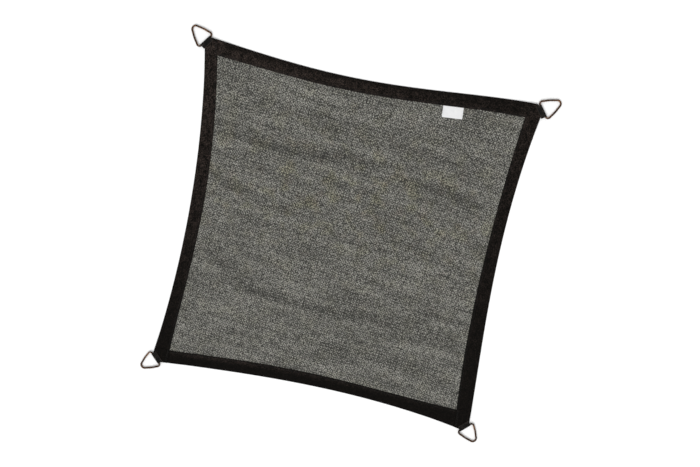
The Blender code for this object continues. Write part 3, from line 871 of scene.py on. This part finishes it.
def webbing_finish():
    """The tabs': a twill of slanting ribs, with a painted highlight at the raw ends and a patchy painted
    highlight along the front of the loop.
    """
    made, tree, shader = finish("black_webbing", roughness=0.5, specular=0.10)
    place = cloth_place(tree, output="UV")
    along, across = axes(place)
    twill = (across * (1 / RIB) + (along * (1 / (8 * RIB))).zigzag() * 3).wave()
    wear = noise(cloth_place(tree), WEBBING_WEAR, detail=3.0)
    # Painted highlights: at the upper flap's raw end, and in patches along the front of the loop.
    raw_end_highlight = along.rise(RAW_END_HIGHLIGHT, 0.0)
    front = ((along - FRONT_AT) * (1 / FRONT_HIGHLIGHT_WIDTH)).bell()
    tone = (wear - 0.5) * 1.6 + twill * 0.15 + 0.15 + raw_end_highlight * 0.9 + front * (wear - 0.2) * 0.9
    strap = colour_between(tone.rise(0.0, 1.0), WEBBING_DARK, WEBBING_WORN_AND_LIT)
    tree.links.new(strap, shader.inputs["Base Color"])
    relief(shader, twill, 0.35 * MM)
    return made


webbing = webbing_finish()
for corner in CORNERS:
    points, flat_places = strap_surface(webbing_path, TAB_WIDTH, WEBBING)
    tab = grid_mesh(f"webbing_tab_{corner}", at_corner(points, corner), flat_places, closed=True)
    with reshaped(tab) as shape:
        bmesh.ops.holes_fill(shape, edges=[edge for edge in shape.edges if edge.is_boundary])
        bmesh.ops.recalc_face_normals(shape, faces=shape.faces)
    tab.data.materials.append(webbing)
    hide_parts(f"tab_{corner}")
    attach(tab, "root")

# At each corner a box of stitches sews down the webbing's upper end. Its long rows run across it.
BOX_BACK, BOX_FRONT, BOX_HALF = -27 * MM, -20 * MM, 31 * MM
BOX_CORNERS = np.array([
    (back, beside, TAB_TOP + WEBBING / 2)
    for back in (BOX_BACK, BOX_FRONT) for beside in (-BOX_HALF, BOX_HALF)
])
BOX_SIDES = ([0, 1], [2, 3], [0, 2], [1, 3])
tab_rows = [at_corner(BOX_CORNERS[ends], corner) for corner in CORNERS for ends in BOX_SIDES]
tab_sewing = stitches("webbing_stitching", tab_rows, STITCH_PROUD)
tab_sewing.data.materials.append(black_thread)
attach(tab_sewing, "root")

# -----------------------------------------------------------------------------
# Delta rings. One steel wire at each corner, bent to a triangle whose legs bow out a little and
# closed behind the webbing, polished and toned dark brown.
# -----------------------------------------------------------------------------

RING_BASE, RING_HEIGHT = 112 * MM, 133 * MM
RING_BASE_BEND, RING_APEX_BEND, RING_LEG_BOW = 14 * MM, 20 * MM, 2 * MM
RING_BEND_STEPS, RING_LEG_STEPS, RING_SIDES = 14, 22, 20
RING_SEAM = 0.01 * MM


def ring_line():
    """The wire's middle line: arcs at the triangle's corners, joined by legs bowed as a sine squared."""
    half = RING_BASE / 2
    corners = np.array([(0, -half), (RING_HEIGHT, 0), (0, half)])
    arcs = []
    for k, radius in enumerate((RING_BASE_BEND, RING_APEX_BEND, RING_BASE_BEND)):
        here, before, after = corners[k], corners[k - 1], corners[(k + 1) % 3]
        back, on = unit(before - here), unit(after - here)
        half_angle = math.acos(float(back @ on)) / 2
        centre = here + unit(back + on) * radius / math.sin(half_angle)
        first = here + back * radius / math.tan(half_angle) - centre
        turn = np.linspace(0, math.pi - 2 * half_angle, RING_BEND_STEPS + 1)
        spin = np.stack([np.cos(turn), -np.sin(turn), np.sin(turn), np.cos(turn)], 1).reshape(-1, 2, 2)
        arcs.append(centre + spin @ first)
    share = np.linspace(0, 1, RING_LEG_STEPS + 1)[1:-1, None]
    legs = []
    for start, end in ((arcs[0][-1], arcs[1][0]), (arcs[1][-1], arcs[2][0])):
        way = unit(end - start)
        outwards = np.array((way[1], -way[0]))
        legs.append(start + share * (end - start) + outwards * RING_LEG_BOW * np.sin(math.pi * share) ** 2)
    base = arcs[2][-1] + share * (arcs[0][0] - arcs[2][-1])
    return np.vstack([arcs[0], legs[0], arcs[1], legs[1], arcs[2], base])


def wire_surface(line, thickness):
    """A circle carried round a closed flat line, square to it. The last row repeats the first.

    With it come two numbers for the painted glints at the bends and the lighter inside: the distance in
    metres to the nearer end of the bar, and how far a place faces into the ring, from -1 to 1.
    """
    line = np.vstack([line, line[:1]])
    way = unit(np.gradient(np.vstack([line[-2], line, line[1]]), axis=0)[1:-1])
    turn = np.linspace(0, math.tau, RING_SIDES + 1)[:-1]
    off, up = thickness / 2 * np.cos(turn), thickness / 2 * np.sin(turn)
    x = line[:, :1] + way[:, 1:] * off
    y = line[:, 1:] - way[:, :1] * off
    from_bar = np.hypot(line[:, 0], np.abs(line[:, 1]) - RING_BASE / 2)
    inward = np.broadcast_to(-np.cos(turn), x.shape)
    places = np.stack(np.broadcast_arrays(from_bar[:, None], inward), 2)
    return np.stack([x, y, np.broadcast_to(up, x.shape)], 2), places


STEEL_DARK, STEEL_BROWN = (0.028, 0.016, 0.010), (0.172, 0.090, 0.048)
STEEL_GLINT = (0.45, 0.42, 0.40)
STEEL_PATINA, STEEL_RUBBING = 45, 300
BEND_GLINT = (24 * MM, 8 * MM)


def steel_finish():
    """The rings': brown in patches, lighter inside, with painted light towards the top of the sail and
    painted glints at the bends.
    """
    made, tree, shader = finish("brown_steel", roughness=0.25, metallic=1.0)
    place = cloth_place(tree)
    _, up = axes(place)
    patina = noise(place, STEEL_PATINA, detail=3.0)
    from_bar, inward = axes(cloth_place(tree, output="UV"))
    # Painted glints on the inner side of the bends beside the bar.
    bend_glint = from_bar.rise(*BEND_GLINT) * inward.rise(-0.6, 0.5)
    # The inner side is lighter, and the rings higher on the sail get painted light.
    tone = (patina - 0.5) * 1.6 + inward.rise(-0.1, 0.9) * 0.30 + up * 0.10 + 0.25
    brown = colour_between(tone.rise(0.0, 1.0), STEEL_DARK, STEEL_BROWN)
    # The painted glints are added to the brown, in patches.
    metal = colour_between((bend_glint * patina).rise(0.25, 0.75), brown, STEEL_GLINT, "ADD")
    tree.links.new(metal, shader.inputs["Base Color"])
    rubbed = noise(place, STEEL_RUBBING) * 0.25 + 0.12
    tree.links.new(rubbed.socket, shader.inputs["Roughness"])
    return made


steel = steel_finish()
wire_line = ring_line()
RING_TILT = math.asin((BAR_BEHIND_FRONT - RING_WIRE / 2) / wire_line[:, 0].max())
for corner in CORNERS:
    wire, wire_places = wire_surface(wire_line, RING_WIRE)
    placed = at_corner(wire, corner, behind=BAR_BEHIND_FRONT, height=BAR_BEHIND_FRONT, tilt=RING_TILT)
    ring = grid_mesh(f"delta_ring_{corner}", placed, wire_places, closed=True)
    with reshaped(ring) as shape:
        bmesh.ops.remove_doubles(shape, verts=shape.verts, dist=RING_SEAM)
        bmesh.ops.recalc_face_normals(shape, faces=shape.faces)
    ring.data.materials.append(steel)
    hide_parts(f"ring_{corner}")
    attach(ring, "root")

# -----------------------------------------------------------------------------
# Label. A small plain piece of white woven ribbon with turned-in ends, sewn by its upper edge under
# the top binding, and lying on the panel.
# -----------------------------------------------------------------------------

LABEL_FROM, LABEL_TO, LABEL_DROP = 0.403, 0.513, 62 * MM
LABEL_THICK, LABEL_HEM = 1.0 * MM, 6 * MM
LABEL_COLUMNS, LABEL_ROWS = 44, 24


def panel_height(x, y):
    """The panel's upper face where the label lies: the border's height fading out over SAG_REACH."""
    below_edge = side_curve("top", "inner")(x) - y
    lift = BORDER_HEIGHT - CLOTH / 2
    ridges = ridge_height(x, y) * smooth(below_edge / SIDE_CALM)
    return CLOTH + lift * smooth(1 - below_edge / SAG_REACH) + ridges


def label_surface():
    """The label's middle surface: the edge's own line dropped square to it, laid GAP over the panel."""
    edge = side_curve("top", "inner")
    x = np.linspace(LABEL_FROM, LABEL_TO, LABEL_COLUMNS + 1)
    slope = (edge(LABEL_TO) - edge(LABEL_FROM)) / (LABEL_TO - LABEL_FROM)
    down = np.array((slope, -1)) / math.hypot(slope, 1)
    drop = GAP + np.linspace(LABEL_DROP, 0, LABEL_ROWS + 1)[:, None]
    px, py = x + drop * down[0], edge(x) + drop * down[1]
    pz = panel_height(px, py) + GAP + LABEL_THICK / 2
    flat = np.stack(np.broadcast_arrays(x - LABEL_FROM, LABEL_DROP - drop), 2)
    return np.stack([px, py, pz], 2), flat


LABEL_WHITE, LABEL_SOILED_AND_SHADED = (0.84, 0.84, 0.84), (0.66, 0.67, 0.69)
RIBBON_RIB, LABEL_SOIL = 1.6 * MM, 40
HEM_LINE = (1.2 * MM, 0.2 * MM)


def label_finish():
    """The label's: fine ribs both ways, soft soiling and a painted shade line along each turned-in end."""
    made, tree, shader = finish("white_ribbon", roughness=0.5, specular=0.3)
    place = cloth_place(tree, output="UV")
    along, up = axes(place)
    ribs = (up * (1 / RIBBON_RIB)).wave() + (along * (1 / RIBBON_RIB)).wave() * 0.5
    half = (LABEL_TO - LABEL_FROM) / 2
    from_hem = (along - half).math("ABSOLUTE") - (half - LABEL_HEM)
    hems = from_hem.math("ABSOLUTE").rise(*HEM_LINE)
    soil = noise(place, LABEL_SOIL, detail=3.0)
    # Soiling, and a painted shade line in the groove along each turned-in end.
    soil_and_shade = (soil - 0.5) * 0.7 + ribs * 0.06 + hems * 0.5 + 0.25
    ribbon = colour_between(soil_and_shade.rise(0.0, 1.0), LABEL_WHITE, LABEL_SOILED_AND_SHADED)
    tree.links.new(ribbon, shader.inputs["Base Color"])
    relief(shader, ribs - hems * 2, 0.2 * MM)
    return made


points, flat_places = label_surface()
label = grid_mesh("woven_label", points, flat_places)
thicken(label, LABEL_THICK)
label.data.materials.append(label_finish())
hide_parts("label")
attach(label, "root")

# One row of white stitches sews the label down, below its upper edge and clear of its two ends.
LABEL_ROW, ROW_CLEAR = 4 * MM, 2
THREAD_WHITE, THREAD_SOILED = (0.75, 0.75, 0.74), (0.6375, 0.6375, 0.629)
row_number = np.abs(flat_places[:, 0, 1] - (LABEL_DROP - LABEL_ROW)).argmin()
label_row = points[row_number, ROW_CLEAR:-ROW_CLEAR] + (0, 0, LABEL_THICK / 2)
label_sewing = stitches("label_stitching", [label_row], STITCH_PROUD)
label_sewing.data.materials.append(thread_finish("white_thread", THREAD_WHITE, THREAD_SOILED))
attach(label_sewing, "root")

# -----------------------------------------------------------------------------
# Floor and light. A smooth, nearly white floor just under the sail, a pale sky all round, and one
# broad soft light from the near side.
# -----------------------------------------------------------------------------

FLOOR_HALF, FLOOR_HEIGHT = 60.0, -0.4 * MM
FLOOR_COLOUR = (0.96, 0.96, 0.96)
SKY_STRENGTH, SUN_STRENGTH = 0.78, 1.5
SUN_SPREAD, SUN_TURN = 40, (40, 0, -10)

corners = np.array([[(-1, -1, 0), (1, -1, 0)], [(-1, 1, 0), (1, 1, 0)]], float)
floor = grid_mesh("floor", corners * FLOOR_HALF + DRAWING_MIDDLE + (0, 0, FLOOR_HEIGHT))
floor_finish, _, floor_shader = finish("pale_floor", roughness=0.9, specular=0.0)
floor_shader.inputs["Base Color"].default_value = (*FLOOR_COLOUR, 1)
floor.data.materials.append(floor_finish)

sky = bpy.data.worlds.new("pale sky")
sky.use_nodes = True
sky.node_tree.nodes["Background"].inputs["Strength"].default_value = SKY_STRENGTH
sky.node_tree.nodes["Background"].inputs["Color"].default_value = (1, 1, 1, 1)
bpy.context.scene.world = sky

sun = put_in_scene("soft light", bpy.data.lights.new("soft light", "SUN"))
sun.data.energy = SUN_STRENGTH
sun.data.angle = math.radians(SUN_SPREAD)
sun.rotation_euler = [math.radians(angle) for angle in SUN_TURN]
bpy.context.scene.view_settings.view_transform = "Standard"
